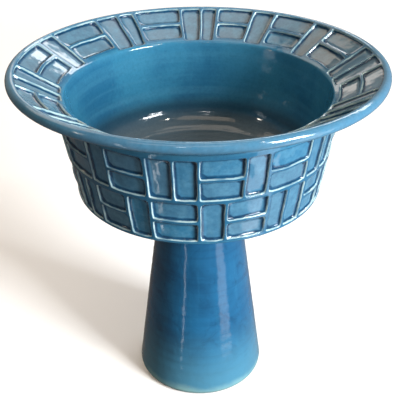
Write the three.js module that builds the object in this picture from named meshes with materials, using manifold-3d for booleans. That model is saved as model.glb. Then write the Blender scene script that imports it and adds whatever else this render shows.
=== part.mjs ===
// A two-part glazed stoneware bird bath: a wide bowl with a sloping rim stands on a hollow thrown pedestal.
// Bricks are sunk by hand into the rim and the wall of the bowl. A rubber ring cushions the bowl on the neck.
// Millimetres, +Z up. The origin is the centre of the foot's resting circle, and the front is -Y.

import * as THREE from 'three';
import { mergeVertices } from 'three/addons/utils/BufferGeometryUtils.js';
import Module from 'manifold-3d';

// Whole object
const TOTAL_HEIGHT = 508;
const RIM_RADIUS = 250;
const CONTACT_GAP = 0.3;

// Bowl
const BOWL_HEIGHT = 182;
const MOUTH_RADIUS = 179;
const MOUTH_EDGE_RADIUS = 5;
const RIM_RISE = 36;
const RIM_THICKNESS = 12;
const LIP_RADIUS = 7;
const WALL_THICKNESS = 14.5;
const SHOULDER_RADIUS = 171;
const SHOULDER_HEIGHT = 4.5;
const SHOULDER_ROUNDING = 10;
const WALL_ROOT_ROUNDING = 4;
const FLOOR_THICKNESS = 13;
const FLOOR_DISH = 2;
const FLOOR_CORNER_RADIUS = 42;
const UNDERSIDE_FLAT_RADIUS = 122;

// Spigot under the bowl, which drops into the neck
const SPIGOT_LENGTH = 22;
const SPIGOT_WALL = 10;
const SPIGOT_CLEARANCE = 1.6;
const SPIGOT_ROUNDING = 2.5;

// Pedestal
const NECK_RADIUS = 55;
const FOOT_RADIUS = 98;
const NECK_WALL = 11;
const FOOT_WALL = 16;
const FOOT_ROUNDING = 8;
const FOOT_INNER_ROUNDING = 2;
const NECK_ROUNDING = 2;

// Cushion ring on the neck
const RING_THICKNESS = 2;
const RING_MARGIN = 2;

// Sunk bricks: depth, width of the sloping side, and the lands left between two bricks and between two rows
const BRICK_DEPTH = 4;
const BRICK_SIDE = 3;
const BRICK_LAND = 4;
const ROW_LAND = 6;
const LARGEST_SIDE_SHARE = 0.3;
const CUT_ABOVE_SURFACE = 1.5;

// Distances from a band of bricks to the edges of its face
const RIM_MARGIN_OUTER = 1.5;
const RIM_MARGIN_UPRIGHT = 4.5;
const RIM_MARGIN_LYING = 10;
const WALL_MARGIN_TOP = 9;
const WALL_MARGIN_BOTTOM = 6;

// Hand-laid bonds, in degrees of turn: P is a pair of lying bricks, V is one upright brick.
// Each begins at its own angle from the front, and goes round towards +X.
const RIM_BOND_START = 67.5;
const RIM_BOND = 'P19.75 V8.75 V8 P20 V8.5 P16.75 V9 P14 V6.5 V8 P18.25 V6.75 V9 P20.75 V9 P20.5 V8.5 V8 '
  + 'P18 V8.5 V8.5 P19 V8.5 P18 V8 V8.5 P19 V8.5 V8 V7.5';
const UPPER_BOND_START = -65.5;
const UPPER_BOND = 'P19.15 V9.7 P16.8 V10.15 V9.5 P17.25 V9.45 P20 V9.4 V8.6 P18 V9.5 P19 V9 V9.5 '
  + 'P18.5 V9 P18 V9.5 V9 P18 V9.5 P19 V9 V9 P18 V9 V9.5';
const LOWER_BOND_START = -62.5;
const LOWER_BOND = 'V8.75 V8.25 P15.7 V10.5 P19.3 V10.5 P17.9 V9 V10.35 P14.05 V9.5 P18.5 V9.5 V9.5 '
  + 'P18 V9.5 P19 V9.5 V9 P18.5 V10 P18 V9.5 V9.5 P19 V9.5 V9.7 P19.5';

const TURN_STEPS = 60;
const STEP_ANGLE = 360 / TURN_STEPS;
const ARC_STEP = 35;
const LIP_STEP = 30;

// Levels and radii that follow from the sizes above
const bowlBase = TOTAL_HEIGHT - BOWL_HEIGHT;
const ringTop = bowlBase - CONTACT_GAP;
const neckTop = ringTop - RING_THICKNESS - CONTACT_GAP;
const neckMouthRadius = NECK_RADIUS - NECK_WALL;
const spigotRadius = neckMouthRadius - SPIGOT_CLEARANCE;
const lipCentre = new THREE.Vector2(RIM_RADIUS - LIP_RADIUS, TOTAL_HEIGHT - LIP_RADIUS);
const mouth = new THREE.Vector2(MOUTH_RADIUS, TOTAL_HEIGHT - RIM_RISE);
const shoulder = new THREE.Vector2(SHOULDER_RADIUS, bowlBase + SHOULDER_HEIGHT);

const glazedStoneware = () => new THREE.MeshStandardMaterial({
  color: 0x2f6f9f,
  roughness: 0.12,
  metalness: 0,
});

const cushionRubber = () => new THREE.MeshStandardMaterial({
  color: 0x202224,
  roughness: 0.8,
  metalness: 0,
});

const radians = (degrees) => THREE.MathUtils.degToRad(degrees);

// The unit vector a quarter turn anticlockwise from the direction that leads from one point to another.
function leftOf(from, to) {
  const along = to.clone().sub(from).normalize();
  return new THREE.Vector2(-along.y, along.x);
}

// A profile through corners [radius, height, rounding], with each rounded corner as a short arc.
function roundedProfile(corners) {
  const points = [];
  corners.forEach(([x, y, rounding = 0], index) => {
    const corner = new THREE.Vector2(x, y);
    if (rounding === 0) {
      points.push(corner);
      return;
    }
    const before = new THREE.Vector2(...corners[index - 1]);
    const after = new THREE.Vector2(...corners[index + 1]);
    const backward = before.sub(corner).normalize();
    const forward = after.sub(corner).normalize();
    const halfAngle = Math.acos(THREE.MathUtils.clamp(backward.dot(forward), -1, 1)) / 2;
    const centreDistance = rounding / Math.sin(halfAngle);
    const centre = backward.clone().add(forward).normalize().multiplyScalar(centreDistance).add(corner);
    const tangent = rounding / Math.tan(halfAngle);
    const start = backward.multiplyScalar(tangent).add(corner).sub(centre);
    const end = forward.multiplyScalar(tangent).add(corner).sub(centre);
    const sweep = Math.atan2(start.cross(end), start.dot(end));
    const steps = Math.max(1, Math.ceil(Math.abs(THREE.MathUtils.radToDeg(sweep)) / ARC_STEP));
    for (let step = 0; step <= steps; step += 1) {
      points.push(start.clone().rotateAround(new THREE.Vector2(), (sweep * step) / steps).add(centre));
    }
  });
  return points;
}

// A solid turned about Z. Its profile runs anticlockwise, with the radius to the right and up as up.
function turned(profile) {
  return new THREE.LatheGeometry(profile, TURN_STEPS).rotateX(Math.PI / 2);
}

// The rim's upper face runs from the mouth to the lip, and just touches the lip's circle.
function rimFace() {
  const toCentre = lipCentre.clone().sub(mouth);
  const distance = toCentre.length();
  const angle = toCentre.angle() + Math.asin(LIP_RADIUS / distance);
  const length = Math.sqrt(distance ** 2 - LIP_RADIUS ** 2);
  const direction = new THREE.Vector2(Math.cos(angle), Math.sin(angle));
  return { outer: direction.multiplyScalar(length).add(mouth), inner: mouth };
}

// Where the rim's underside meets the bowl's outer wall.
function wallTop() {
  const { outer, inner } = rimFace();
  const down = leftOf(outer, inner);
  const slope = (outer.y - inner.y) / (outer.x - inner.x);
  const underside = inner.clone().addScaledVector(down, RIM_THICKNESS);
  const radius = MOUTH_RADIUS + WALL_THICKNESS;
  return new THREE.Vector2(radius, underside.y + (radius - underside.x) * slope);
}

// The lip's roll, from the underside round the rim's edge to the upper face. Whole steps keep a corner at
// the widest and at the highest point.
function lipPoints(underside, upper) {
  const toWall = underside.clone().sub(lipCentre);
  const start = toWall.angle() - 2 * Math.PI + Math.acos(LIP_RADIUS / toWall.length());
  const end = upper.clone().sub(lipCentre).angle();
  const step = radians(LIP_STEP);
  const angles = [start];
  for (let angle = Math.ceil(start / step + 0.5) * step; angle < end - step / 2; angle += step) {
    angles.push(angle);
  }
  angles.push(end);
  return angles.map((angle) => [
    lipCentre.x + LIP_RADIUS * Math.cos(angle),
    lipCentre.y + LIP_RADIUS * Math.sin(angle),
  ]);
}

function bowlProfile() {
  const top = wallTop();
  const inward = leftOf(shoulder, top);
  const innerFoot = shoulder.clone().addScaledVector(inward, WALL_THICKNESS);
  const floorLevel = bowlBase + FLOOR_THICKNESS;
  const lean = (mouth.x - innerFoot.x) / (mouth.y - innerFoot.y);
  const floorCorner = innerFoot.x + (floorLevel + FLOOR_DISH - innerFoot.y) * lean;
  const corners = [
    [0, bowlBase],
    [spigotRadius - SPIGOT_WALL, bowlBase],
    [spigotRadius - SPIGOT_WALL, bowlBase - SPIGOT_LENGTH, SPIGOT_ROUNDING],
    [spigotRadius, bowlBase - SPIGOT_LENGTH, SPIGOT_ROUNDING],
    [spigotRadius, bowlBase],
    [UNDERSIDE_FLAT_RADIUS, bowlBase],
    [shoulder.x, shoulder.y, SHOULDER_ROUNDING],
    [top.x, top.y, WALL_ROOT_ROUNDING],
    ...lipPoints(top, rimFace().outer),
    [mouth.x, mouth.y, MOUTH_EDGE_RADIUS],
    [floorCorner, floorLevel + FLOOR_DISH, FLOOR_CORNER_RADIUS],
    [0, floorLevel],
  ];
  return roundedProfile(corners);
}

// One bond's bricks: each has its kind and its angles from the front.
function bricksOf(bond, start) {
  let angle = start;
  return bond.split(' ').map((word) => {
    const from = angle;
    angle += Number(word.slice(1));
    return { lying: word[0] === 'P', from, to: angle };
  });
}

// A cutter for one brick on a conical face that runs from a first to a second profile point.
// low and high are distances from the first point along the face, and the turn is in degrees.
function brickCutter(face, brick, low, high) {
  const along = face.end.clone().sub(face.start).normalize();
  const outward = leftOf(face.start, face.end).negate();
  const side = Math.min(BRICK_SIDE, (high - low) * LARGEST_SIDE_SHARE);
  const bends = [];
  for (let turn = Math.ceil(brick.from / STEP_ANGLE) * STEP_ANGLE; turn < brick.to; turn += STEP_ANGLE) {
    if (turn - brick.from > STEP_ANGLE / 2 && brick.to - turn > STEP_ANGLE / 2) {
      bends.push(turn);
    }
  }
  const columns = bends.length + 1;
  const cutter = new THREE.BoxGeometry(1, 1, 1, columns, 1, 1);
  const places = cutter.attributes.position;
  for (let index = 0; index < places.count; index += 1) {
    const column = Math.round((places.getX(index) + 0.5) * columns);
    const atHighEnd = places.getY(index) > 0;
    const depth = places.getZ(index) > 0 ? -CUT_ABOVE_SURFACE : BRICK_DEPTH;
    const inset = (side * depth) / BRICK_DEPTH;
    const distance = atHighEnd ? high - inset : low + inset;
    const point = face.start.clone().addScaledVector(along, distance).addScaledVector(outward, -depth);
    const endInset = THREE.MathUtils.radToDeg((BRICK_LAND / 2 + inset) / point.x);
    let turn = bends[column - 1];
    if (column === 0) {
      turn = brick.from + endInset;
    } else if (column === columns) {
      turn = brick.to - endInset;
    }
    const phi = radians(turn);
    places.setXYZ(index, point.x * Math.sin(phi), -point.x * Math.cos(phi), point.y);
  }
  return cutter;
}

// All the cutters for a band of bricks that begins at one distance along a face.
// Its upright bricks end at a second distance, and its lying pairs at a third.
function bandCutters(face, bond, start, low, uprightHigh, lyingHigh = uprightHigh) {
  const middle = (low + lyingHigh) / 2;
  return bricksOf(bond, start).flatMap((brick) => {
    if (brick.lying) {
      return [
        brickCutter(face, brick, low, middle - BRICK_LAND / 2),
        brickCutter(face, brick, middle + BRICK_LAND / 2, lyingHigh),
      ];
    }
    return [brickCutter(face, brick, low, uprightHigh)];
  });
}

function allBrickCutters() {
  const rim = rimFace();
  const rimTop = { start: rim.outer, end: rim.inner };
  const rimLength = rim.outer.distanceTo(rim.inner);
  const top = wallTop();
  const wall = { start: shoulder, end: top };
  const wallHigh = shoulder.distanceTo(top) - WALL_MARGIN_TOP;
  const wallMiddle = (WALL_MARGIN_BOTTOM + wallHigh) / 2;
  const uprightEnd = rimLength - RIM_MARGIN_UPRIGHT;
  const lyingEnd = rimLength - RIM_MARGIN_LYING;
  return [
    ...bandCutters(rimTop, RIM_BOND, RIM_BOND_START, RIM_MARGIN_OUTER, uprightEnd, lyingEnd),
    ...bandCutters(wall, UPPER_BOND, UPPER_BOND_START, wallMiddle + ROW_LAND / 2, wallHigh),
    ...bandCutters(wall, LOWER_BOND, LOWER_BOND_START, WALL_MARGIN_BOTTOM, wallMiddle - ROW_LAND / 2),
  ];
}

const wasm = await Module();
wasm.setup();

function toSolid(geometry) {
  const bare = geometry.clone();
  bare.deleteAttribute('normal');
  bare.deleteAttribute('uv');
  const merged = mergeVertices(bare, 1e-4);
  return new wasm.Manifold(new wasm.Mesh({
    numProp: 3,
    vertProperties: new Float32Array(merged.attributes.position.array),
    triVerts: new Uint32Array(merged.index.array),
  }));
}

function toGeometry(solid) {
  const mesh = solid.getMesh();
  const geometry = new THREE.BufferGeometry();
  geometry.setAttribute('position', new THREE.BufferAttribute(new Float32Array(mesh.vertProperties), 3));
  geometry.setIndex(new THREE.BufferAttribute(new Uint32Array(mesh.triVerts), 1));
  geometry.computeVertexNormals();
  return geometry;
}

function bowl() {
  const body = toSolid(turned(bowlProfile()));
  const carved = allBrickCutters().reduce((solid, cutter) => solid.subtract(toSolid(cutter)), body);
  return new THREE.Mesh(toGeometry(carved), glazedStoneware());
}

function pedestal() {
  const footMouthRadius = FOOT_RADIUS - FOOT_WALL;
  const halfWayUp = [(footMouthRadius + neckMouthRadius) / 2, neckTop / 2];
  const profile = roundedProfile([
    halfWayUp,
    [footMouthRadius, 0, FOOT_INNER_ROUNDING],
    [FOOT_RADIUS, 0, FOOT_ROUNDING],
    [NECK_RADIUS, neckTop, NECK_ROUNDING],
    [neckMouthRadius, neckTop, NECK_ROUNDING],
    halfWayUp,
  ]);
  return new THREE.Mesh(turned(profile), glazedStoneware());
}

function seatRing() {
  const inner = neckMouthRadius + RING_MARGIN;
  const outer = NECK_RADIUS - RING_MARGIN;
  const bottom = ringTop - RING_THICKNESS;
  const profile = [[inner, ringTop], [inner, bottom], [outer, bottom], [outer, ringTop], [inner, ringTop]];
  return new THREE.Mesh(turned(roundedProfile(profile)), cushionRubber());
}

const birdBath = new THREE.Group();
for (const [name, build] of Object.entries({ pedestal, seat_ring: seatRing, bowl })) {
  const piece = build();
  piece.name = name;
  birdBath.add(piece);
}

export default birdBath;
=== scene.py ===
"""A glazed stoneware bird bath: thrown bowl with hand-sunk bricks, hollow pedestal and cushion ring.

Metres, +Z up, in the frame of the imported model. The front is -Y, and turn angles go round towards +X.
"""

import math

import bpy
import numpy as np
from mathutils import Matrix, Vector


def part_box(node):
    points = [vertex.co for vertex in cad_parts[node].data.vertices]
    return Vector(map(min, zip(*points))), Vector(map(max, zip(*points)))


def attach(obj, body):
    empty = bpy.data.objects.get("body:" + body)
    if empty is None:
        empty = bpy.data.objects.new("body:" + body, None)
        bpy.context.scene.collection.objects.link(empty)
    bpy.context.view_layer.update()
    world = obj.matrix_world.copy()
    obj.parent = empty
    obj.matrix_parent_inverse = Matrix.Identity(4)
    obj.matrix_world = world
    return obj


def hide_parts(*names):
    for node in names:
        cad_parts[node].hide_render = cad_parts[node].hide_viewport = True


MM = 0.001
FULL_TURN = 2 * math.pi

# Sizes of the bowl, as in the CAD source
BOWL_HEIGHT = 182 * MM
MOUTH_RADIUS = 179 * MM
MOUTH_EDGE_RADIUS = 5 * MM
RIM_RISE = 36 * MM
RIM_THICKNESS = 12 * MM
LIP_RADIUS = 7 * MM
WALL_THICKNESS = 14.5 * MM
SHOULDER_RADIUS = 171 * MM
SHOULDER_HEIGHT = 4.5 * MM
SHOULDER_ROUNDING = 10 * MM
WALL_ROOT_ROUNDING = 4 * MM
FLOOR_THICKNESS = 13 * MM
FLOOR_DISH = 2 * MM
FLOOR_CORNER_RADIUS = 42 * MM
UNDERSIDE_FLAT_RADIUS = 122 * MM
UNDERSIDE_BEND = 30 * MM
UNDERSIDE_SHOULDER_ROUNDING = SHOULDER_ROUNDING * 0.45
SPIGOT_WALL = 10 * MM
SPIGOT_CLEARANCE = 1.6 * MM
SPIGOT_ROUNDING = 2.5 * MM

# Sizes of the pedestal and the ring, as in the CAD source
NECK_RADIUS = 55 * MM
NECK_WALL = 11 * MM
FOOT_RADIUS = 98 * MM
FOOT_WALL = 16 * MM
FOOT_ROUNDING = 8 * MM
FOOT_INNER_ROUNDING = 2 * MM
NECK_ROUNDING = 2 * MM
RING_MARGIN = 2 * MM
RING_ROUNDING = 0.7 * MM

# Marks of the potter's fingers: pitch and height of the ridges, where they fade, and how far they swell
BASIN_RIDGE_PITCH = 13 * MM
BASIN_RIDGE_HEIGHT = 0.16 * MM
BASIN_RIDGE_FADE = (0.2, 0.29)
BASIN_RIDGE_SWELL = 0.4
BASIN_RIDGE_SIDEWAYS = 0.3
SECOND_RIDGE_PITCH = BASIN_RIDGE_PITCH * 0.618
SECOND_RIDGE_HEIGHT = 0.5
SECOND_RIDGE_PHASE = 1.3
PEDESTAL_WIDE_PITCH, PEDESTAL_NARROW_PITCH = 17 * MM, 7 * MM
PEDESTAL_NARROW_HEIGHT = 0.5
PEDESTAL_RIDGE_HEIGHT = 0.09 * MM
PEDESTAL_RIDGE_FADE = 30 * MM
PEDESTAL_RIDGE_SWELL = 0.5

# Sunk bricks
BRICK_DEPTH = 4 * MM
BRICK_LAND = 4 * MM
BRICK_CORNER = 3.6 * MM
ROW_LAND = 6 * MM
RIM_MARGIN_OUTER = 1.5 * MM
RIM_MARGIN_UPRIGHT = 4.5 * MM
RIM_MARGIN_LYING = 10 * MM
RIM_SMOOTH_MARGIN = RIM_MARGIN_UPRIGHT - BRICK_LAND * 0.4
WALL_MARGIN_TOP = 9 * MM
WALL_MARGIN_BOTTOM = 6 * MM
EDGE_ROUNDING = 0.7 * MM
EDGE_RUN = 1.9 * MM
EDGE_WANDER = 0.3 * MM
WANDER_FADE = 4 * MM
FLOOR_WAVE = 0.16 * MM
WAVE_LENGTH = 45 * MM

# Waves of a random field: how many are added, and their fewest and most in a full turn
EDGE_WAVES = (9, 5, 40)
FLOOR_WAVES = (12, 20, 150)
BASIN_WAVES = (6, 1, 4)
PEDESTAL_WAVES = (7, 1, 4)

# Hand-laid bonds, in degrees of turn: P is a pair of lying bricks, V is one upright brick
RIM_BOND_START = 67.5
RIM_BOND = (
    "P19.75 V8.75 V8 P20 V8.5 P16.75 V9 P14 V6.5 V8 P18.25 V6.75 V9 P20.75 V9 P20.5 V8.5 V8 "
    "P18 V8.5 V8.5 P19 V8.5 P18 V8 V8.5 P19 V8.5 V8 V7.5"
)
UPPER_BOND_START = -65.5
UPPER_BOND = (
    "P19.15 V9.7 P16.8 V10.15 V9.5 P17.25 V9.45 P20 V9.4 V8.6 P18 V9.5 P19 V9 V9.5 "
    "P18.5 V9 P18 V9.5 V9 P18 V9.5 P19 V9 V9 P18 V9 V9.5"
)
LOWER_BOND_START = -62.5
LOWER_BOND = (
    "V8.75 V8.25 P15.7 V10.5 P19.3 V10.5 P17.9 V9 V10.35 P14.05 V9.5 P18.5 V9.5 V9.5 "
    "P18 V9.5 P19 V9.5 V9 P18.5 V10 P18 V9.5 V9.5 P19 V9.5 V9.7 P19.5"
)

# How each brick may differ: share of the depth, share of the corner, slopes of the floor, trim of each side
BRICK_DEPTH_SHARES = (0.86, 1.04)
BRICK_CORNER_SHARES = (0.7, 1.25)
BRICK_TILT_TURN = 0.012
BRICK_TILT_ALONG = 0.016
BRICK_TRIM = (-0.5, 0.7)

# How grey the brick floors are, from -1 for wholly blue to 1 for wholly grey
RIM_GREYNESS = (0.0, 1.0)
WALL_GREYNESS = (-1.0, 0.1)

# Where the glaze stops, and the dark line along its end
BARE_UNDERSIDE_RADIUS = 112 * MM
BARE_FOOT_HEIGHT = 1.6 * MM
BARE_WANDER = 0.9
BARE_BEGINS, BARE_BEGUN = 0.46, 0.54
THIN_AT, THIN_HALF_WIDTH, THIN_SOFTNESS = 0.42, 0.04, 0.16
THIN_STRENGTH = 0.8

# Where the glaze changes below the lip's top and near the pedestal's foot, where painted shade and painted
# reflection lie in the basin, in from the mouth and above the bowl's base or the floor, and where painted
# shade darkens the neck under the bowl
LIP_THIN_DEPTH = 19 * MM
LIP_THIN_RUN = 10 * MM
BASIN_BEGINS, BASIN_BEGUN = 12 * MM, 16 * MM
# Painted shade on the lower wall of the basin, passing lower down into painted reflection of the ceiling on
# its floor
BOTTOM_PAINTED_FROM, BOTTOM_PAINTED_TO = 150 * MM, 20 * MM
REFLECTION_LIES_FROM, REFLECTION_LIES_TO = 50 * MM, 15 * MM
# Painted shade under the bowl, from this height up to the neck's top
NECK_DARKENS_FROM = 190 * MM
# Paler towards the foot: thinner glaze, and partly painted light
FOOT_PALES_FROM, FOOT_PALES_TO = 130 * MM, 10 * MM
FOOT_GREENS_FROM, FOOT_GREENS_TO = 20 * MM, 2 * MM
FOOT_LINE_WANDER = 26 * MM

# Distances inside a brick's outline: the one given to plain surfaces, and those where the glaze and the
# painted shade round a brick's foot change
SMOOTH_INSET = -9 * MM
OUTLINE_WANDER = 0.8 * MM
BREAK_AT, BREAK_HALF_WIDTH, BREAK_SOFTNESS = -0.2 * MM, 0.25 * MM, 0.4 * MM
BRICK_BEGINS, BRICK_BEGUN = -0.2 * MM, 0.7 * MM
# The dark pool round a brick's foot, partly painted shade, ends this far inside the outline, where the floor
# begins
POOL_SHADE_ENDS, FLOOR_BEGINS = 1.6 * MM, 5.0 * MM
LAND_BEGINS, LAND_BEGUN = -6 * MM, -3 * MM
LIP_FROM_BRICK_BEGINS, LIP_FROM_BRICK_BEGUN = -3 * MM, -7 * MM

# How quickly the patterns of throwing and of running glaze change, in noise cells to the metre.
# The rings are given along the radius and along the height.
BOWL_RINGS = (150.0, 60.0)
BOWL_FINE_RINGS = (500.0, 350.0)
PEDESTAL_RINGS = (20.0, 95.0)
PEDESTAL_FINE_RINGS = (0.0, 700.0)
ROUND_RINGS = 3.0
ACROSS_RUNS, ALONG_RUNS = 95.0, 9.0

# Heights of the fine relief in the materials
GLAZE_WAVES = 0.9 * MM
GLAZE_PEEL = 0.05 * MM
GLAZE_PITS = 0.12 * MM
CLAY_GRIT = 0.35 * MM
BOWL_GROOVES = 0.02 * MM
PEDESTAL_GROOVES = 0.13 * MM
RUBBER_GRAIN = 0.08 * MM

# Glaze
SMOOTH_DEEP = (0.014, 0.092, 0.176, 1)
SMOOTH_LIGHT = (0.026, 0.145, 0.242, 1)
SMOOTH_RING = (0.037, 0.158, 0.251, 1)
LAND_DEEP = (0.013, 0.082, 0.155, 1)
FLOOR_BLUE = (0.022, 0.118, 0.21, 1)
FLOOR_GREY = (0.075, 0.135, 0.185, 1)
FLOOR_PALE = (0.09, 0.225, 0.31, 1)
# Dark pooled glaze round each brick's foot, deepened as painted shade of the brick's walls
POOL_SHADE_DEEP = (0.003, 0.022, 0.054, 1)
POOL_SHADE_LIGHT = (0.007, 0.05, 0.105, 1)
# Painted shade on the lower basin wall, and painted reflection of the warm ceiling, grey and pale, on the
# basin's floor
BOTTOM_SHADE = (0.014, 0.04, 0.064, 1)
BOTTOM_REFLECTION = (0.07, 0.10, 0.122, 1)
BOTTOM_REFLECTION_PALE = (0.12, 0.15, 0.165, 1)
LIP_BLUE = (0.035, 0.145, 0.246, 1)
LIP_GREY = (0.105, 0.178, 0.24, 1)
BREAK_GREEN = (0.18, 0.33, 0.36, 1)
BREAK_PALE = (0.38, 0.46, 0.46, 1)
THICK_DEEP = (0.003, 0.032, 0.079, 1)
THICK_LIGHT = (0.008, 0.081, 0.176, 1)
THICK_RUN = (0.014, 0.101, 0.194, 1)
# Paler blue towards the pedestal's foot: thinner glaze, and partly painted light
THIN_AND_LIT_BLUE = (0.055, 0.18, 0.26, 1)
THIN_GREEN = (0.176, 0.317, 0.317, 1)
GLAZE_IOR = 1.45
GLAZE_ROUGHNESS = (0.05, 0.15)

# Clay, rubber and floor. The floor's size is its half width in rim radii
CLAY_DARK = (0.40, 0.27, 0.17, 1)
CLAY_LIGHT = (0.60, 0.46, 0.32, 1)
CLAY_SMOKY = (0.30, 0.20, 0.13, 1)
CLAY_SPECK = (0.09, 0.05, 0.03, 1)
CLAY_LINE = (0.20, 0.15, 0.10, 1)
CLAY_ADDED_ROUGHNESS = 0.62
RUBBER_DARK = (0.012, 0.012, 0.013, 1)
RUBBER_LIGHT = (0.045, 0.044, 0.042, 1)
RUBBER_DUST = (0.13, 0.12, 0.10, 1)
RUBBER_ROUGHNESS = (0.6, 0.85)
FLOOR_TONES = ((0.78, 0.78, 0.78, 1), (0.81, 0.81, 0.81, 1))
FLOOR_ROUGHNESS = 0.9
FLOOR_SIZE = 40
BLACK = (0, 0, 0, 1)

# Light of the room, and the parts of a direction between which each tone passes into the next
ROOM_LEFT = (0.07, 0.05, 0.035, 1)
ROOM_RIGHT = (0.22, 0.25, 0.28, 1)
GROUND_LEFT = (0.16, 0.13, 0.11, 1)
GROUND_RIGHT = (0.42, 0.42, 0.42, 1)
BACKGROUND = (0.80, 0.80, 0.80, 1)
ROOM_BACK = (0.42, 0.40, 0.38, 1)
ROOM_CEILING = (0.16, 0.135, 0.115, 1)
GROUND_ACROSS = (-0.5, 0.8)
ROOM_ACROSS = (-0.6, 0.9)
ROOM_TO_BACK = (0.45, 0.8)
ROOM_TO_CEILING = (0.45, 0.95)
GROUND_TO_ROOM = (-0.12, 0.02)
FLOOR_GLOWS_FROM, FLOOR_GLOWS_TO = 1.3, 4.2
DAYLIGHT = (0.95, 0.98, 1.0)
WARM = (1.0, 0.90, 0.76)
WHITE = (1.0, 1.0, 1.0)
FAR, CLOSE = 3.6, 0.42

# Area lights: name, azimuth, elevation, distance, (width, height), watts, colour, aimed height as a share
LIGHTS = (
    ("window_pane_0", 44, 18, FAR, (0.34, 1.6), 114, DAYLIGHT, 0.6),
    ("window_pane_1", 51, 18, FAR, (0.34, 1.6), 114, DAYLIGHT, 0.6),
    ("window_pane_2", 58, 18, FAR, (0.34, 1.6), 114, DAYLIGHT, 0.6),
    ("window_back", 150, 38, FAR, (3.4, 0.5), 50, WHITE, 0.6),
    ("panel_overhead", 180, 74, FAR, (2.1, 1.8), 25, (1.0, 0.87, 0.74), 0.6),
    ("panel_front", -12, 58, FAR, (2.8, 1.3), 26, (1.0, 0.80, 0.60), 0.6),
    ("panel_left", -138, 46, FAR, (2.4, 1.4), 27, (1.0, 0.82, 0.64), 0.6),
    ("panel_back", -170, 20, FAR, (0.8, 0.7), 4, (1.0, 0.88, 0.78), 0.6),
    ("lamp_right", 44, 50, FAR, (0.24, 0.24), 18, WARM, 0.6),
    ("lamp_left", -69, 26, FAR, (0.22, 0.22), 13, WARM, 0.6),
    ("lamp_front", -8, 36, FAR, (0.5, 0.09), 8, WHITE, 0.6),
    ("strip_right", 47, 0, CLOSE, (0.14, 0.6), 0.65, WHITE, 0.4),
    ("strip_left", -31, 0, CLOSE, (0.012, 0.6), 0.14, WHITE, 0.4),
)

# Camera, in rim radii and degrees
CAMERA_BACK, CAMERA_UP = 3.808, 3.43
CAMERA_PITCH, CAMERA_ROLL = 30.84, -0.45
CAMERA_LENS, CAMERA_SENSOR = 68.2, 36
CAMERA_SHIFT = (0.0019, 0.0079)

# Mesh density
EDGE_LINES = np.array([-1.2, -0.6, -0.1, 0.4, 0.9, 1.7]) * MM
BRICK_FLOOR_STEP = 7 * MM
CLOSEST_LINES = 0.25 * MM
SMOOTH_STEP = 2.6 * MM
ARC_STEP = math.radians(9)
UNDERSIDE_STEP = 4 * MM
HOLLOW_STEP = 5 * MM
RUBBER_STEP = 1 * MM
NARROW_RADIUS = 26 * MM
SMALLEST_SHARE = 8
ON_AXIS = 0.01 * MM
BOWL_COLUMNS = 192
PEDESTAL_COLUMNS = 144

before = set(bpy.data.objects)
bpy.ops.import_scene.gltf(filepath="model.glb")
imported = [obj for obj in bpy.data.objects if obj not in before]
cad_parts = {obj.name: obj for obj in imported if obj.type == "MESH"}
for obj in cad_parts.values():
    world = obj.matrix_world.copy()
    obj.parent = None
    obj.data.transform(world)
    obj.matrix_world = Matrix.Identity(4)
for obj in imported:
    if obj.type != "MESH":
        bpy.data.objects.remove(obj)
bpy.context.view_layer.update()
bowl_low, bowl_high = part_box("bowl")
pedestal_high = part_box("pedestal")[1]
ring_low, ring_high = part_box("seat_ring")

TOP = bowl_high.z
RIM_RADIUS = bowl_high.x
SPIGOT_END = bowl_low.z
BOWL_BASE = TOP - BOWL_HEIGHT
NECK_TOP = pedestal_high.z
NECK_MOUTH = NECK_RADIUS - NECK_WALL
SPIGOT_RADIUS = NECK_MOUTH - SPIGOT_CLEARANCE
LIP_CENTRE = np.array([RIM_RADIUS - LIP_RADIUS, TOP - LIP_RADIUS])
MOUTH = np.array([MOUTH_RADIUS, TOP - RIM_RISE])
SHOULDER = np.array([SHOULDER_RADIUS, BOWL_BASE + SHOULDER_HEIGHT])


# ---------------------------------------------------------------- profiles


def unit(vector):
    return np.asarray(vector) / np.linalg.norm(vector)


def left_of(start, end):
    """The unit vector a quarter turn anticlockwise from start to end."""
    along = unit(end - start)
    return np.array([-along[1], along[0]])


def rounded(corners, spacing=SMOOTH_STEP):
    """Points (radius, height) through corners (radius, height, rounding), at most the spacing apart."""
    path = []
    for index, (x, z, rounding) in enumerate(corners):
        corner = np.array([x, z])
        if rounding == 0:
            path.append(corner)
            continue
        backward = unit(np.array(corners[index - 1][:2]) - corner)
        forward = unit(np.array(corners[index + 1][:2]) - corner)
        half = math.acos(np.clip(backward @ forward, -1, 1)) / 2
        centre = corner + unit(backward + forward) * rounding / math.sin(half)
        start = corner + backward * rounding / math.tan(half) - centre
        end = corner + forward * rounding / math.tan(half) - centre
        sweep = math.atan2(start[0] * end[1] - start[1] * end[0], start @ end)
        steps = max(3, math.ceil(abs(sweep) / ARC_STEP))
        for angle in np.linspace(0, sweep, steps + 1):
            turn = np.array([[math.cos(angle), -math.sin(angle)], [math.sin(angle), math.cos(angle)]])
            path.append(centre + turn @ start)
    points = [path[0]]
    for start, end in zip(path, path[1:]):
        pieces = max(1, math.ceil(np.linalg.norm(end - start) / spacing))
        points += [start + (end - start) * piece / pieces for piece in range(1, pieces + 1)]
    return np.array(points)


def rim_face():
    """The outer and inner ends of the rim's upper face, which just touches the lip's circle."""
    to_centre = LIP_CENTRE - MOUTH
    distance = np.linalg.norm(to_centre)
    angle = math.atan2(to_centre[1], to_centre[0]) + math.asin(LIP_RADIUS / distance)
    length = math.sqrt(distance**2 - LIP_RADIUS**2)
    return MOUTH + length * np.array([math.cos(angle), math.sin(angle)]), MOUTH


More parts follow.
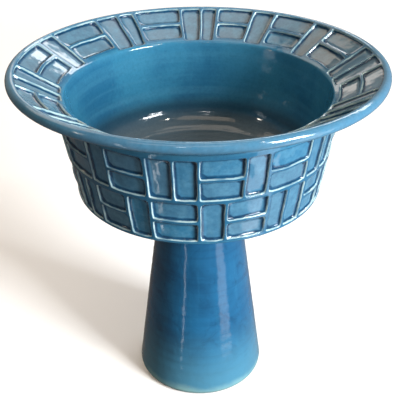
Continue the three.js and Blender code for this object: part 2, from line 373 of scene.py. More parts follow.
def wall_top():
    """Where the rim's underside meets the bowl's outer wall."""
    outer, inner = rim_face()
    underside = inner + left_of(outer, inner) * RIM_THICKNESS
    slope = (outer[1] - inner[1]) / (outer[0] - inner[0])
    radius = MOUTH_RADIUS + WALL_THICKNESS
    return np.array([radius, underside[1] + (radius - underside[0]) * slope])


def lip(upper, underside):
    """The lip's roll, from the rim's upper face over the crest and down to the underside."""
    to_wall = underside - LIP_CENTRE
    start = math.atan2(*(upper - LIP_CENTRE)[::-1])
    end = math.atan2(to_wall[1], to_wall[0]) + math.acos(LIP_RADIUS / np.linalg.norm(to_wall))
    angles = np.linspace(start, end, math.ceil((start - end) / ARC_STEP) + 1)
    return LIP_CENTRE + LIP_RADIUS * np.stack([np.cos(angles), np.sin(angles)], 1)


# ---------------------------------------------------------------- rings of vertices


class Rings:
    """A surface built ring by ring from one pole to the other; neighbouring rings may differ in columns."""

    def __init__(self):
        self.turns = []
        self.points = []
        self.inset = []
        self.tone = []
        self.bare = []
        self.faces = []
        self.starts = []
        self.count = 0

    def add(self, turns, radius, height, inset=SMOOTH_INSET, tone=0.0, bare=0.0, shifted=None):
        """One closed ring. turns are sorted angles in radians from 0 to a full turn.

        inset is the distance inside a brick's outline. tone sets one brick apart. bare is 1 on unglazed clay.
        shifted are the angles where the vertices really stand, if they stray from their turns.
        """
        placed = turns if shifted is None else shifted
        columns = len(turns)
        radius = np.broadcast_to(radius, columns)
        height = np.broadcast_to(height, columns)
        self.turns.append(np.asarray(turns))
        self.starts.append(self.count)
        self.points.append(np.stack([radius * np.sin(placed), -radius * np.cos(placed), height], 1))
        self.inset.append(np.broadcast_to(inset, columns))
        self.tone.append(np.broadcast_to(tone, columns))
        self.bare.append(np.broadcast_to(bare, columns))
        self.count += columns
        if len(self.turns) > 1:
            self._join(len(self.turns) - 2, len(self.turns) - 1)

    def _join(self, first, second):
        counts = len(self.turns[first]), len(self.turns[second])
        if 1 in counts:
            self._fan(first, second)
        elif counts[0] == counts[1]:
            self._quads(first, second)
        else:
            self._zip(first, second)

    def _quads(self, first, second):
        start_a, start_b = self.starts[first], self.starts[second]
        columns = len(self.turns[first])
        for i in range(columns):
            j = (i + 1) % columns
            self.faces.append((start_a + i, start_b + i, start_b + j, start_a + j))

    def _zip(self, first, second):
        """Triangles between two rings with different columns, always towards the nearer next vertex."""
        a, b = self.turns[first], self.turns[second]
        start_a, start_b = self.starts[first], self.starts[second]
        i = j = 0
        while i < len(a) or j < len(b):
            next_a = a[(i + 1) % len(a)] + FULL_TURN * ((i + 1) // len(a))
            next_b = b[(j + 1) % len(b)] + FULL_TURN * ((j + 1) // len(b))
            here_a, here_b = start_a + i % len(a), start_b + j % len(b)
            if j >= len(b) or (i < len(a) and next_a <= next_b):
                self.faces.append((here_a, here_b, start_a + (i + 1) % len(a)))
                i += 1
            else:
                self.faces.append((here_a, here_b, start_b + (j + 1) % len(b)))
                j += 1

    def _fan(self, first, second):
        """Triangles between a pole and its ring."""
        pole_first = len(self.turns[first]) == 1
        pole, ring = (first, second) if pole_first else (second, first)
        tip = self.starts[pole]
        columns = len(self.turns[ring])
        for i in range(columns):
            here, there = self.starts[ring] + i, self.starts[ring] + (i + 1) % columns
            self.faces.append((tip, here, there) if pole_first else (tip, there, here))

    def close(self):
        """Joins the last ring to the first, for a body with a hole through it."""
        self._join(len(self.turns) - 1, 0)

    def to_object(self, name):
        mesh = bpy.data.meshes.new(name)
        mesh.from_pydata(np.concatenate(self.points).tolist(), [], self.faces)
        for label in ("inset", "tone", "bare"):
            values = getattr(self, label)
            attribute = mesh.attributes.new(label, "FLOAT", "POINT")
            attribute.data.foreach_set("value", np.concatenate(values).astype(np.float32))
        mesh.polygons.foreach_set("use_smooth", [True] * len(mesh.polygons))
        mesh.update()
        if mesh.validate():
            raise ValueError(f"{name} had faulty faces")
        made = bpy.data.objects.new(name, mesh)
        bpy.context.scene.collection.objects.link(made)
        return made


def even_turns(columns):
    return np.arange(columns) * FULL_TURN / columns


def columns_at(radius, most):
    """Fewer columns near the axis, always a whole share of the most."""
    share = 1
    while share < SMALLEST_SHARE and radius < NARROW_RADIUS / share:
        share *= 2
    return most // share


def nowhere(radius, height):
    return 0.0


def add_profile(rings, points, most_columns, shape=None, bare=nowhere, tone=nowhere):
    """Adds smooth rings along a profile.

    shape takes (turns, radius, height, distance) and gives the ring's new radius and height.
    bare and tone take (radius, height).
    """
    travelled = 0.0
    previous = points[0]
    for radius, height in points:
        travelled += math.hypot(radius - previous[0], height - previous[1])
        previous = (radius, height)
        look = {"bare": bare(radius, height), "tone": tone(radius, height)}
        if radius < ON_AXIS:
            rings.add(np.zeros(1), 0.0, height, **look)
            continue
        turns = even_turns(columns_at(radius, most_columns))
        if shape is None:
            rings.add(turns, radius, height, **look)
        else:
            rings.add(turns, *shape(turns, radius, height, travelled), **look)


# ---------------------------------------------------------------- sunk bricks


def wave_field(seed, waves, lowest, highest, amplitude):
    """A smooth random field of the turn and the distance along a face. It repeats after a full turn."""
    draw = np.random.default_rng(seed)
    turns_each = draw.integers(lowest, highest, waves)
    along_each = draw.uniform(-1, 1, waves) * FULL_TURN / WAVE_LENGTH
    phases = draw.uniform(0, FULL_TURN, waves)
    scale = amplitude * math.sqrt(2 / waves)

    def field(turn, distance):
        total = np.zeros(np.broadcast(turn, distance).shape)
        for count, along, phase in zip(turns_each, along_each, phases):
            total += np.sin(count * turn + along * distance + phase)
        return total * scale

    return field


def bond_edges(bond, start):
    """The angles between bricks, in radians from 0, and whether each brick is a lying pair."""
    widths = np.array([float(word[1:]) for word in bond.split()])
    lying = np.array([word[0] == "P" for word in bond.split()])
    edges = np.radians(start + np.concatenate([[0], np.cumsum(widths)]))
    return edges, lying


def spread_lines(edges, step):
    """Sorted grid lines: close together at every edge, and at most a step apart elsewhere."""
    near = np.sort(np.concatenate(edges))
    lines = [near[0]]
    for value in near[1:]:
        gap = value - lines[-1]
        if gap < CLOSEST_LINES:
            continue
        pieces = max(1, math.ceil(gap / step))
        lines += [lines[-1] + gap * piece / pieces for piece in range(1, pieces)] + [value]
    return np.array(lines)


def rounded_inset(across, lengthways, corner):
    """The distance inside a rectangle with rounded corners, from the distances inside its nearest sides."""
    gap_across = np.maximum(corner - across, 0)
    gap_lengthways = np.maximum(corner - lengthways, 0)
    inside_corner = corner - np.hypot(gap_across, gap_lengthways)
    both = (gap_across > 0) & (gap_lengthways > 0)
    return np.where(both, inside_corner, np.minimum(across, lengthways))


class Band:
    """A band of bricks on a conical face that runs from start to end.

    ends are the distances along the face where bricks begin, upright ones stop and lying ones stop.
    """

    def __init__(self, start, end, bond, bond_start, ends, greyness, seed):
        self.start, self.end = np.asarray(start), np.asarray(end)
        self.along = unit(self.end - self.start)
        self.inward = left_of(self.start, self.end)
        self.edges, self.lying = bond_edges(bond, bond_start)
        self.low, self.upright_high, self.lying_high = ends
        self.middle = (self.low + self.lying_high) / 2
        self.seed = seed
        draw = np.random.default_rng(seed)
        shape = (len(self.lying), 2)
        self.depth = BRICK_DEPTH * draw.uniform(*BRICK_DEPTH_SHARES, shape)
        self.tone = draw.uniform(*greyness, shape)
        self.corner = BRICK_CORNER * draw.uniform(*BRICK_CORNER_SHARES, shape)
        self.tilt_turn = draw.uniform(-BRICK_TILT_TURN, BRICK_TILT_TURN, shape)
        self.tilt_along = draw.uniform(-BRICK_TILT_ALONG, BRICK_TILT_ALONG, shape)
        self.trim = draw.uniform(*BRICK_TRIM, (*shape, 4)) * MM

    def columns(self):
        radius = (self.start + self.along * self.middle)[0]
        lines = []
        for low, high in zip(self.edges, self.edges[1:]):
            lines.append(low * radius + BRICK_LAND / 2 + EDGE_LINES)
            lines.append(high * radius - BRICK_LAND / 2 - EDGE_LINES)
        turns = spread_lines(lines, BRICK_FLOOR_STEP) / radius
        return np.sort(np.mod(turns, FULL_TURN))

    def rows(self):
        edges = [self.low + EDGE_LINES, self.upright_high - EDGE_LINES]
        edges += [self.middle - BRICK_LAND / 2 - EDGE_LINES, self.middle + BRICK_LAND / 2 + EDGE_LINES]
        if self.lying_high != self.upright_high:
            edges.append(self.lying_high - EDGE_LINES)
        return spread_lines(edges, BRICK_FLOOR_STEP)

    def locate(self, turn, distance):
        """The distance inside the brick's outline, the brick's two indices, and the place from its middle."""
        radius = self.start[0] + self.along[0] * distance
        turn = self.edges[0] + np.mod(turn - self.edges[0], FULL_TURN)
        brick = np.clip(np.searchsorted(self.edges, turn, side="right") - 1, 0, len(self.lying) - 1)
        lying = self.lying[brick]
        second = (lying & (distance > self.middle)).astype(int)
        low = np.where(second == 1, self.middle + BRICK_LAND / 2, self.low)
        high_of_first = np.where(lying, self.middle - BRICK_LAND / 2, self.upright_high)
        high = np.where(second == 1, self.lying_high, high_of_first)
        trim = self.trim[brick, second]
        left = (turn - self.edges[brick]) * radius - BRICK_LAND / 2 - trim[..., 0]
        right = (self.edges[brick + 1] - turn) * radius - BRICK_LAND / 2 - trim[..., 1]
        across = np.minimum(left, right)
        lengthways = np.minimum(distance - low - trim[..., 2], high - distance - trim[..., 3])
        inset = rounded_inset(across, lengthways, self.corner[brick, second])
        middle_turn = (self.edges[brick] + self.edges[brick + 1]) / 2
        from_middle = (turn - middle_turn) * radius, distance - (low + high) / 2
        return inset, brick, second, from_middle

    def add_to(self, rings):
        """Adds the band's rings, from the end of the face back to its start."""
        turns = self.columns()
        rows = self.rows()[::-1]
        warp_turn = wave_field(self.seed + 1, *EDGE_WAVES, EDGE_WANDER)
        warp_along = wave_field(self.seed + 2, *EDGE_WAVES, EDGE_WANDER)
        floor_wave = wave_field(self.seed + 3, *FLOOR_WAVES, FLOOR_WAVE)
        lowest, highest = rows.min(), rows.max()
        for distance in rows:
            fade = min(1.0, min(distance - lowest, highest - distance) / WANDER_FADE)
            inset, brick, second, (across, lengthways) = self.locate(turns, distance)
            run = np.clip((inset + EDGE_ROUNDING) / EDGE_RUN, 0, 1)
            sunk = run * run * (3 - 2 * run)
            floor = self.depth[brick, second] + floor_wave(turns, distance)
            floor += self.tilt_turn[brick, second] * across + self.tilt_along[brick, second] * lengthways
            moved = distance + fade * warp_along(turns, distance)
            radius = self.start[0] + self.along[0] * moved + self.inward[0] * sunk * floor
            height = self.start[1] + self.along[1] * moved + self.inward[1] * sunk * floor
            shifted = turns + fade * warp_turn(turns, distance) / radius
            tone = self.tone[brick, second] * np.clip(sunk * 2, 0, 1)
            rings.add(turns, radius, height, inset, tone, shifted=shifted)


# ---------------------------------------------------------------- the pieces


def throwing_ridges(turns, radius, height, travelled):
    """Spiral ridges left by the potter's fingers in the basin, as a shape for add_profile."""
    spiral = np.sin(FULL_TURN * travelled / BASIN_RIDGE_PITCH + turns)
    second = np.sin(FULL_TURN * travelled / SECOND_RIDGE_PITCH + turns + SECOND_RIDGE_PHASE)
    fade_from, fade_to = BASIN_RIDGE_FADE
    strength = np.clip((fade_to - travelled) / (fade_to - fade_from), 0, 1)
    swell = 1 + BASIN_RIDGE_SWELL * basin_swell(turns, travelled)
    depth = BASIN_RIDGE_HEIGHT * strength * (spiral + SECOND_RIDGE_HEIGHT * second) * swell
    return radius + depth * BASIN_RIDGE_SIDEWAYS, height + depth


def thrown_cone(turns, radius, height, travelled):
    """Shallow grooves round the pedestal, as a shape for add_profile. They only move the surface inward."""
    free = np.clip(min(height, NECK_TOP - height) / PEDESTAL_RIDGE_FADE, 0, 1)
    wide = np.sin(FULL_TURN * travelled / PEDESTAL_WIDE_PITCH + turns)
    narrow = PEDESTAL_NARROW_HEIGHT * np.sin(FULL_TURN * travelled / PEDESTAL_NARROW_PITCH - turns)
    deepest = 1 + PEDESTAL_NARROW_HEIGHT
    swell = 1 + PEDESTAL_RIDGE_SWELL * pedestal_swell(turns, travelled)
    return radius - free * PEDESTAL_RIDGE_HEIGHT * (deepest + wide + narrow) * swell, height


def thin_on_lip(radius, height):
    """How far the glaze has run thin: wholly on the lip's roll, and not at all below it."""
    return float(np.clip((height - TOP + LIP_THIN_DEPTH) / LIP_THIN_RUN, 0, 1))


def bare_under_bowl(radius, height):
    return float(radius < BARE_UNDERSIDE_RADIUS)


def bare_inside(radius, height):
    return 1.0


def bare_at_foot(radius, height):
    return float(height < BARE_FOOT_HEIGHT)


def basin_profile(outer, inner, top):
    """From the middle of the basin's floor up over the mouth's edge to the rim's bricks."""
    floor_level = BOWL_BASE + FLOOR_THICKNESS
    inner_foot = SHOULDER + left_of(SHOULDER, top) * WALL_THICKNESS
    lean = (MOUTH[0] - inner_foot[0]) / (MOUTH[1] - inner_foot[1])
    floor_corner = inner_foot[0] + (floor_level + FLOOR_DISH - inner_foot[1]) * lean
    rim_start = MOUTH + unit(outer - inner) * RIM_SMOOTH_MARGIN
    return rounded([
        (0, floor_level, 0),
        (floor_corner, floor_level + FLOOR_DISH, FLOOR_CORNER_RADIUS),
        (*MOUTH, MOUTH_EDGE_RADIUS),
        (*rim_start, 0),
    ])


def rim_band(outer, inner):
    """The bricks on the rim's upper face, where upright ones come nearer to the mouth than lying ones."""
    length = np.linalg.norm(inner - outer)
    ends = RIM_MARGIN_OUTER, length - RIM_MARGIN_UPRIGHT, length - RIM_MARGIN_LYING
    return Band(outer, inner, RIM_BOND, RIM_BOND_START, ends, RIM_GREYNESS, seed=21)


def lip_profile(outer, top):
    """Over the lip's roll and down the rim's underside to the wall's upper row."""
    lip_points = lip(outer, top)
    wall_start = top + unit(SHOULDER - top) * (WALL_MARGIN_TOP - BRICK_LAND / 2)
    to_wall = rounded([(*lip_points[-1], 0), (*top, WALL_ROOT_ROUNDING), (*wall_start, 0)])
    return np.concatenate([lip_points, to_wall[1:]])


def wall_bands(top):
    """The wall's upper and lower rows of bricks."""
    high = np.linalg.norm(SHOULDER - top) - WALL_MARGIN_TOP
    middle = (WALL_MARGIN_BOTTOM + high) / 2
    upper_ends = middle + ROW_LAND / 2, high, high
    lower_ends = WALL_MARGIN_BOTTOM, middle - ROW_LAND / 2, middle - ROW_LAND / 2
    upper = Band(SHOULDER, top, UPPER_BOND, UPPER_BOND_START, upper_ends, WALL_GREYNESS, seed=31)
    lower = Band(SHOULDER, top, LOWER_BOND, LOWER_BOND_START, lower_ends, WALL_GREYNESS, seed=41)
    return upper, lower


def underside_profile(top):
    """From the wall's lower row round the shoulder and the spigot to the middle of the underside."""
    wall_end = SHOULDER - unit(SHOULDER - top) * (WALL_MARGIN_BOTTOM - BRICK_LAND / 2)
    return rounded([
        (*wall_end, 0),
        (*SHOULDER, UNDERSIDE_SHOULDER_ROUNDING),
        (UNDERSIDE_FLAT_RADIUS, BOWL_BASE, UNDERSIDE_BEND),
        (SPIGOT_RADIUS, BOWL_BASE, SPIGOT_ROUNDING),
        (SPIGOT_RADIUS, SPIGOT_END, SPIGOT_ROUNDING),
        (SPIGOT_RADIUS - SPIGOT_WALL, SPIGOT_END, SPIGOT_ROUNDING),
        (SPIGOT_RADIUS - SPIGOT_WALL, BOWL_BASE, SPIGOT_ROUNDING),
        (0, BOWL_BASE, 0),
    ], spacing=UNDERSIDE_STEP)


def make_bowl():
    outer, inner = rim_face()
    top = wall_top()
    rings = Rings()
    add_profile(rings, basin_profile(outer, inner, top), BOWL_COLUMNS, throwing_ridges)
    rim_band(outer, inner).add_to(rings)
    add_profile(rings, lip_profile(outer, top), BOWL_COLUMNS, tone=thin_on_lip)
    for band in wall_bands(top):
        band.add_to(rings)
    add_profile(rings, underside_profile(top), BOWL_COLUMNS, bare=bare_under_bowl)
    return rings.to_object("bowl_glazed")


def make_pedestal():
    foot_mouth = FOOT_RADIUS - FOOT_WALL
    foot_middle = (FOOT_RADIUS + foot_mouth) / 2
    neck_middle = (NECK_RADIUS + NECK_MOUTH) / 2
    inside = rounded([
        (foot_middle, 0, 0),
        (foot_mouth, 0, FOOT_INNER_ROUNDING),
        (NECK_MOUTH, NECK_TOP, NECK_ROUNDING),
        (neck_middle, NECK_TOP, 0),
    ], spacing=HOLLOW_STEP)
    outside = rounded([
        (neck_middle, NECK_TOP, 0),
        (NECK_RADIUS, NECK_TOP, NECK_ROUNDING),
        (FOOT_RADIUS, 0, FOOT_ROUNDING),
        (foot_middle, 0, 0),
    ])
    rings = Rings()
    add_profile(rings, inside, PEDESTAL_COLUMNS, bare=bare_inside)
    add_profile(rings, outside[1:-1], PEDESTAL_COLUMNS, thrown_cone, bare=bare_at_foot)
    rings.close()
    return rings.to_object("pedestal_glazed")


def make_cushion_ring():
    inner, outer = NECK_MOUTH + RING_MARGIN, ring_high.x
    middle = (inner + outer) / 2
    profile = rounded([
        (middle, ring_low.z, 0),
        (inner, ring_low.z, RING_ROUNDING),
        (inner, ring_high.z, RING_ROUNDING),
        (outer, ring_high.z, RING_ROUNDING),
        (outer, ring_low.z, RING_ROUNDING),
        (middle, ring_low.z, 0),
    ], spacing=RUBBER_STEP)
    rings = Rings()
    add_profile(rings, profile[:-1], PEDESTAL_COLUMNS)
    rings.close()
    return rings.to_object("cushion_ring")


basin_swell = wave_field(11, *BASIN_WAVES, amplitude=1.0)
pedestal_swell = wave_field(53, *PEDESTAL_WAVES, amplitude=1.0)
bowl = make_bowl()
pedestal = make_pedestal()
cushion = make_cushion_ring()


# ---------------------------------------------------------------- materials


class Nodes:
    """Short calls for a material's node tree."""

    def __init__(self, tree):
        self.tree = tree
        self.place = self.node("ShaderNodeTexCoord").outputs["Object"]

    def node(self, kind, **settings):
        made = self.tree.nodes.new(kind)
        for key, value in settings.items():
            setattr(made, key, value)
        return made

    def link(self, source, target):
        if isinstance(source, (int, float, tuple)):
            target.default_value = source
        else:
            self.tree.links.new(source, target)

    def attribute(self, name):
        return self.node("ShaderNodeAttribute", attribute_name=name).outputs["Fac"]

    def split(self, vector):
        made = self.node("ShaderNodeSeparateXYZ")
        self.link(vector, made.inputs["Vector"])
        return made.outputs["X"], made.outputs["Y"], made.outputs["Z"]

    def combine(self, x, y, z):
        made = self.node("ShaderNodeCombineXYZ")
        for source, name in zip((x, y, z), "XYZ"):
            self.link(source, made.inputs[name])
        return made.outputs["Vector"]

    def noise(self, scale, detail=2.0, roughness=0.5, distortion=0.0, vector=None):
        texture = self.node("ShaderNodeTexNoise")
        texture.inputs["Scale"].default_value = scale
        texture.inputs["Detail"].default_value = detail
        texture.inputs["Roughness"].default_value = roughness
        texture.inputs["Distortion"].default_value = distortion
        self.link(self.place if vector is None else vector, texture.inputs["Vector"])
        return texture.outputs["Fac"]

    def specks(self, scale, size):
        """Small round specks, scattered one to a cell."""
        texture = self.node("ShaderNodeTexVoronoi")
        texture.inputs["Scale"].default_value = scale
        self.link(self.place, texture.inputs["Vector"])
        return self.ramp(texture.outputs["Distance"], size, size * 0.5)

    def math(self, operation, first, second=0.0):
        made = self.node("ShaderNodeMath", operation=operation)
        for source, target in zip((first, second), made.inputs):
            self.link(source, target)
        return made.outputs["Value"]

    def times(self, first, second):
        return self.math("MULTIPLY", first, second)

    def plus(self, first, second):
        return self.math("ADD", first, second)

    def centred(self, value, spread):
        """A noise from 0 to 1 turned into one from minus to plus half the spread."""
        return self.times(self.math("SUBTRACT", value, 0.5), spread)

    def from_axis(self, x, y):
        return self.math("SQRT", self.plus(self.times(x, x), self.times(y, y)))

    def ramp(self, value, low, high, to_low=0.0, to_high=1.0):
        """A smooth step from to_low at low to to_high at high."""
        made = self.node("ShaderNodeMapRange", interpolation_type="SMOOTHSTEP")
        swapped = low > high
        self.link(value, made.inputs["Value"])
        made.inputs["From Min"].default_value = high if swapped else low
        made.inputs["From Max"].default_value = low if swapped else high
        made.inputs["To Min"].default_value = to_high if swapped else to_low
        made.inputs["To Max"].default_value = to_low if swapped else to_high
        return made.outputs["Result"]

    def near(self, value, middle, half_width, softness):
        """1 within half_width of the middle, falling to 0 over the softness."""
        away = self.math("ABSOLUTE", self.math("SUBTRACT", value, middle))
        return self.ramp(away, half_width + softness, half_width)

    def mix(self, share, first, second):
        made = self.node("ShaderNodeMix", data_type="RGBA")
        inputs = [socket for socket in made.inputs if socket.enabled]
        for source, target in zip((share, first, second), inputs):
            self.link(source, target)
        return next(socket for socket in made.outputs if socket.enabled)

    def bump(self, height, distance, normal=None):
        made = self.node("ShaderNodeBump")
        made.inputs["Distance"].default_value = distance
        self.link(height, made.inputs["Height"])
        if normal is not None:
            self.link(normal, made.inputs["Normal"])
        return made.outputs["Normal"]


def new_material(name):
    material = bpy.data.materials.new(name)
    material.use_nodes = True
    return material, Nodes(material.node_tree), material.node_tree.nodes["Principled BSDF"]


def turned_vector(n, along_radius, along_height):
    """Coordinates that change quickly across the throwing rings and slowly round them."""
    x, y, z = n.split(n.place)
    across = n.plus(n.times(n.from_axis(x, y), along_radius), n.times(z, along_height))
    return n.combine(across, n.times(x, ROUND_RINGS), n.times(y, ROUND_RINGS))


def bare_clay(n):
    """The colour of fired, unglazed buff clay with iron specks."""
    colour = n.mix(n.noise(scale=420, detail=4, roughness=0.7), CLAY_DARK, CLAY_LIGHT)
    smoky = n.ramp(n.noise(scale=14, detail=3), 0.45, 0.72, 0.0, 0.45)
    colour = n.mix(smoky, colour, CLAY_SMOKY)
    return n.mix(n.specks(260, 0.16), colour, CLAY_SPECK)


def finish_glaze(n, shader, glaze, gloss_noise, grooves, groove_depth):
    """Joins the glaze and the bare clay, with the glaze's waves, fine throwing grooves, pits and shine."""
    edge = n.plus(n.attribute("bare"), n.centred(n.noise(scale=90, detail=3), BARE_WANDER))
    clay = n.ramp(edge, BARE_BEGINS, BARE_BEGUN)
    thin = n.near(edge, THIN_AT, THIN_HALF_WIDTH, THIN_SOFTNESS)
    glaze = n.mix(n.times(thin, THIN_STRENGTH), glaze, CLAY_LINE)
    n.link(n.mix(clay, glaze, bare_clay(n)), shader.inputs["Base Color"])
    shine = n.ramp(gloss_noise, 0.25, 0.8, *GLAZE_ROUGHNESS)
    n.link(n.plus(shine, n.times(clay, CLAY_ADDED_ROUGHNESS)), shader.inputs["Roughness"])
    waves = n.bump(n.noise(scale=34, detail=2), GLAZE_WAVES)
    grooved = n.bump(n.noise(scale=1.0, detail=2, vector=grooves), groove_depth, waves)
    peel = n.bump(n.noise(scale=330, detail=2), GLAZE_PEEL, grooved)
    pits = n.bump(n.math("SUBTRACT", 0.0, n.specks(170, 0.07)), GLAZE_PITS, peel)
    grit = n.times(clay, n.noise(scale=900, detail=3, roughness=0.7))
    n.link(n.bump(grit, CLAY_GRIT, pits), shader.inputs["Normal"])
    shader.inputs["IOR"].default_value = GLAZE_IOR


def smooth_glaze(n, inset, tone, mottle):
    """The bowl's glaze off the bricks: ringed and thin on the lip, with painted shade low on the basin's wall
    and a grey painted reflection of the ceiling on the basin's floor.
    """
    rings = n.noise(scale=1.0, detail=3, roughness=0.6, vector=turned_vector(n, *BOWL_RINGS))
    cloud = n.noise(scale=11, detail=4, roughness=0.55, distortion=0.6)
    colour = n.mix(n.ramp(cloud, 0.32, 0.68), SMOOTH_DEEP, SMOOTH_LIGHT)
    colour = n.mix(n.ramp(rings, 0.35, 0.7, 0.0, 0.45), colour, SMOOTH_RING)
    x, y, height = n.split(n.place)
    # Painted shade low on the basin's wall and painted reflection on its floor, inside the mouth only
    inside = n.ramp(n.from_axis(x, y), MOUTH_RADIUS - BASIN_BEGINS, MOUTH_RADIUS - BASIN_BEGUN)
    bottom = n.ramp(height, BOWL_BASE + BOTTOM_PAINTED_FROM, BOWL_BASE + BOTTOM_PAINTED_TO, 0.0, 0.92)
    lying = n.ramp(height, BOWL_BASE + REFLECTION_LIES_FROM, BOWL_BASE + REFLECTION_LIES_TO)
    shade_and_reflection = n.mix(lying, BOTTOM_SHADE, n.mix(rings, BOTTOM_REFLECTION, BOTTOM_REFLECTION_PALE))
    colour = n.mix(n.times(bottom, inside), colour, shade_and_reflection)
    colour = n.mix(n.ramp(inset, LAND_BEGINS, LAND_BEGUN, 0.0, 0.8), colour, LAND_DEEP)
    off_bricks = n.ramp(inset, LIP_FROM_BRICK_BEGINS, LIP_FROM_BRICK_BEGUN)
    on_lip = n.ramp(tone, 0.0, 1.0, 0.0, 0.6)
    return n.mix(n.times(off_bricks, on_lip), colour, n.mix(mottle, LIP_BLUE, LIP_GREY))


def brick_glaze(n, inset, tone, mottle):
    """The glaze in a brick: pooled dark round its foot, deepened into painted shade of its walls, and blue or
    grey on its floor.
    """
    floor = n.mix(n.ramp(tone, -1.0, 1.0), FLOOR_BLUE, FLOOR_GREY)
    floor = n.mix(n.ramp(mottle, 0.4, 0.7, 0.0, 0.35), floor, FLOOR_PALE)
    # Pooled glaze and painted shade, dark round the brick's foot
    pool_and_shade = n.mix(n.ramp(mottle, 0.3, 0.7), POOL_SHADE_DEEP, POOL_SHADE_LIGHT)
    return n.mix(n.ramp(inset, POOL_SHADE_ENDS, FLOOR_BEGINS), pool_and_shade, floor)


def glaze_bowl():
    """Blue glaze that pools dark in the bricks, with painted shade there too, greys on their floors and
    breaks pale along each edge.
    """
    material, n, shader = new_material("bowl_glaze")
    inset = n.plus(n.attribute("inset"), n.centred(n.noise(scale=150, detail=3), OUTLINE_WANDER))
    tone = n.attribute("tone")
    mottle = n.noise(scale=75, detail=5, roughness=0.62)
    smooth = smooth_glaze(n, inset, tone, mottle)
    colour = n.mix(n.ramp(inset, BRICK_BEGINS, BRICK_BEGUN), smooth, brick_glaze(n, inset, tone, mottle))
    freckles = n.noise(scale=240, detail=4, roughness=0.65)
    # Random dark freckles in the glaze, in the same deep colour as the pool and painted shade in the bricks
    colour = n.mix(n.ramp(freckles, 0.35, 0.8, 0.0, 0.22), colour, POOL_SHADE_DEEP)
    strength = n.ramp(n.noise(scale=42, detail=3), 0.3, 0.62, 0.3, 1.0)
    line = n.times(n.near(inset, BREAK_AT, BREAK_HALF_WIDTH, BREAK_SOFTNESS), strength)
    colour = n.mix(line, colour, n.mix(n.noise(scale=120, detail=2), BREAK_GREEN, BREAK_PALE))
    finish_glaze(n, shader, colour, mottle, turned_vector(n, *BOWL_FINE_RINGS), BOWL_GROOVES)
    return material


def glaze_pedestal():
    """The same glaze, laid on thickly: navy clouds, streaks and smudges, painted shade on the neck under the
    bowl, paler towards the foot from thinner glaze and partly painted light, and thin and green along the
    foot.
    """
    material, n, shader = new_material("pedestal_glaze")
    x, y, height = n.split(n.place)
    cloud = n.noise(scale=13, detail=5, roughness=0.6, distortion=0.9)
    downwards = n.combine(n.times(x, ACROSS_RUNS), n.times(y, ACROSS_RUNS), n.times(height, ALONG_RUNS))
    run = n.noise(scale=1.0, detail=4, roughness=0.6, distortion=0.4, vector=downwards)
    rings = n.noise(scale=1.0, detail=3, roughness=0.55, vector=turned_vector(n, *PEDESTAL_RINGS))
    colour = n.mix(n.ramp(cloud, 0.25, 0.66, 0.25, 1.0), THICK_DEEP, THICK_LIGHT)
    colour = n.mix(n.ramp(run, 0.45, 0.75, 0.0, 0.35), colour, THICK_RUN)
    colour = n.mix(n.ramp(rings, 0.5, 0.75, 0.0, 0.35), colour, THICK_DEEP)
    smudge = n.ramp(n.noise(scale=36, detail=4, roughness=0.6, distortion=1.4), 0.5, 0.72, 0.0, 0.5)
    # Painted shade under the bowl, darker towards the neck's top, joined with the real smudges
    shaded = n.ramp(height, NECK_DARKENS_FROM, NECK_TOP, 0.0, 0.4)
    colour = n.mix(n.math("MAXIMUM", smudge, shaded), colour, THICK_DEEP)
    wavering = n.plus(height, n.centred(n.noise(scale=24, detail=3), FOOT_LINE_WANDER))
    # Paler towards the foot: thinner glaze, and partly painted light
    colour = n.mix(n.ramp(wavering, FOOT_PALES_FROM, FOOT_PALES_TO, 0.0, 0.75), colour, THIN_AND_LIT_BLUE)
    colour = n.mix(n.ramp(wavering, FOOT_GREENS_FROM, FOOT_GREENS_TO, 0.0, 0.85), colour, THIN_GREEN)
    finish_glaze(n, shader, colour, cloud, turned_vector(n, *PEDESTAL_FINE_RINGS), PEDESTAL_GROOVES)
    return material


def rubber():
    """Matt black rubber with a fine grain and a little dust."""
    material, n, shader = new_material("cushion_rubber")
    grain = n.noise(scale=500, detail=4, roughness=0.6)
    dust = n.ramp(n.noise(scale=40, detail=3), 0.5, 0.75, 0.0, 0.35)
    n.link(n.mix(dust, n.mix(grain, RUBBER_DARK, RUBBER_LIGHT), RUBBER_DUST), shader.inputs["Base Color"])
    n.link(n.ramp(grain, 0.2, 0.8, *RUBBER_ROUGHNESS), shader.inputs["Roughness"])
    n.link(n.bump(grain, RUBBER_GRAIN), shader.inputs["Normal"])
    return material


for piece, node, body, slot, material in (
    (bowl, "bowl", "bowl", "bowl_glaze", glaze_bowl()),
    (pedestal, "pedestal", "pedestal", "pedestal_glaze", glaze_pedestal()),
    (cushion, "seat_ring", "ring", "cushion", rubber()),
):
    piece.data.materials.append(material)
    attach(piece, body)
    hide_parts(node)


# ---------------------------------------------------------------- floor, light and camera


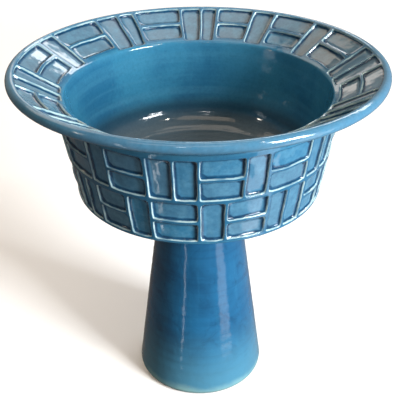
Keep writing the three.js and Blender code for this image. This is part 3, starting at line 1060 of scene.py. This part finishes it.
def make_floor():
    """A pale floor. It takes shadows, but it neither mirrors in the dark glaze nor lights it from below.

    Beyond the reach of the lights it glows up to the tone of the background.
    """
    size = FLOOR_SIZE * RIM_RADIUS
    corners = [(-size, -size, 0), (size, -size, 0), (size, size, 0), (-size, size, 0)]
    mesh = bpy.data.meshes.new("floor")
    mesh.from_pydata(corners, [], [(0, 1, 2, 3)])
    floor = bpy.data.objects.new("floor", mesh)
    bpy.context.scene.collection.objects.link(floor)
    material, n, shader = new_material("floor_pale")
    x, y, _ = n.split(n.place)
    glow = n.ramp(n.from_axis(x, y), FLOOR_GLOWS_FROM, FLOOR_GLOWS_TO)
    n.link(n.mix(n.noise(scale=2, detail=2), *FLOOR_TONES), shader.inputs["Base Color"])
    n.link(n.mix(glow, BLACK, BACKGROUND), shader.inputs["Emission Color"])
    shader.inputs["Emission Strength"].default_value = 1.0
    shader.inputs["Roughness"].default_value = FLOOR_ROUGHNESS
    mesh.materials.append(material)
    floor.visible_glossy = False
    floor.visible_diffuse = False


def area_light(name, azimuth, elevation, distance, size, power, colour, aim):
    """A light round the object, which the camera doesn't see. Azimuth is a turn from the front towards +X."""
    light = bpy.data.lights.new(name, "AREA")
    light.shape = "RECTANGLE"
    light.size, light.size_y = size
    light.energy = power
    light.color = colour
    lamp = bpy.data.objects.new(name, light)
    lamp.visible_camera = False
    turn, rise = math.radians(azimuth), math.radians(elevation)
    away = Vector((math.sin(turn) * math.cos(rise), -math.cos(turn) * math.cos(rise), math.sin(rise)))
    lamp.location = Vector((0, 0, TOP * aim)) + away * distance
    lamp.rotation_euler = away.to_track_quat("Z", "Y").to_euler()
    bpy.context.scene.collection.objects.link(lamp)


def make_world():
    """A dim room behind the lights, warm to the left and cool to the right. The camera sees it plain pale."""
    world = bpy.data.worlds.new("studio")
    world.use_nodes = True
    background = world.node_tree.nodes["Background"]
    n = Nodes(world.node_tree)
    x, y, z = n.split(n.node("ShaderNodeTexCoord").outputs["Generated"])
    ground = n.mix(n.ramp(x, *GROUND_ACROSS), GROUND_LEFT, GROUND_RIGHT)
    sides = n.mix(n.ramp(x, *ROOM_ACROSS), ROOM_LEFT, ROOM_RIGHT)
    sides = n.mix(n.ramp(y, *ROOM_TO_BACK), sides, ROOM_BACK)
    room = n.mix(n.ramp(z, *ROOM_TO_CEILING), sides, ROOM_CEILING)
    room = n.mix(n.ramp(z, *GROUND_TO_ROOM), ground, room)
    seen = n.node("ShaderNodeLightPath").outputs["Is Camera Ray"]
    n.link(n.mix(seen, room, BACKGROUND), background.inputs["Color"])
    background.inputs["Strength"].default_value = 1.0
    bpy.context.scene.world = world


def make_camera():
    """Above the front of the rim, looking down at the bowl."""
    camera = bpy.data.cameras.new("camera")
    camera.sensor_width = CAMERA_SENSOR
    camera.lens = CAMERA_LENS
    camera.shift_x, camera.shift_y = CAMERA_SHIFT
    placed = bpy.data.objects.new("camera", camera)
    placed.location = (0, -CAMERA_BACK * RIM_RADIUS, CAMERA_UP * RIM_RADIUS)
    pitch, roll = math.radians(CAMERA_PITCH), math.radians(CAMERA_ROLL)
    look = Matrix.Rotation(math.pi / 2 - pitch, 4, "X") @ Matrix.Rotation(roll, 4, "Z")
    placed.rotation_euler = look.to_euler()
    bpy.context.scene.collection.objects.link(placed)
    bpy.context.scene.camera = placed


make_floor()
make_world()
for light_row in LIGHTS:
    area_light(*light_row)
bpy.context.scene.view_settings.view_transform = "Standard"
make_camera()
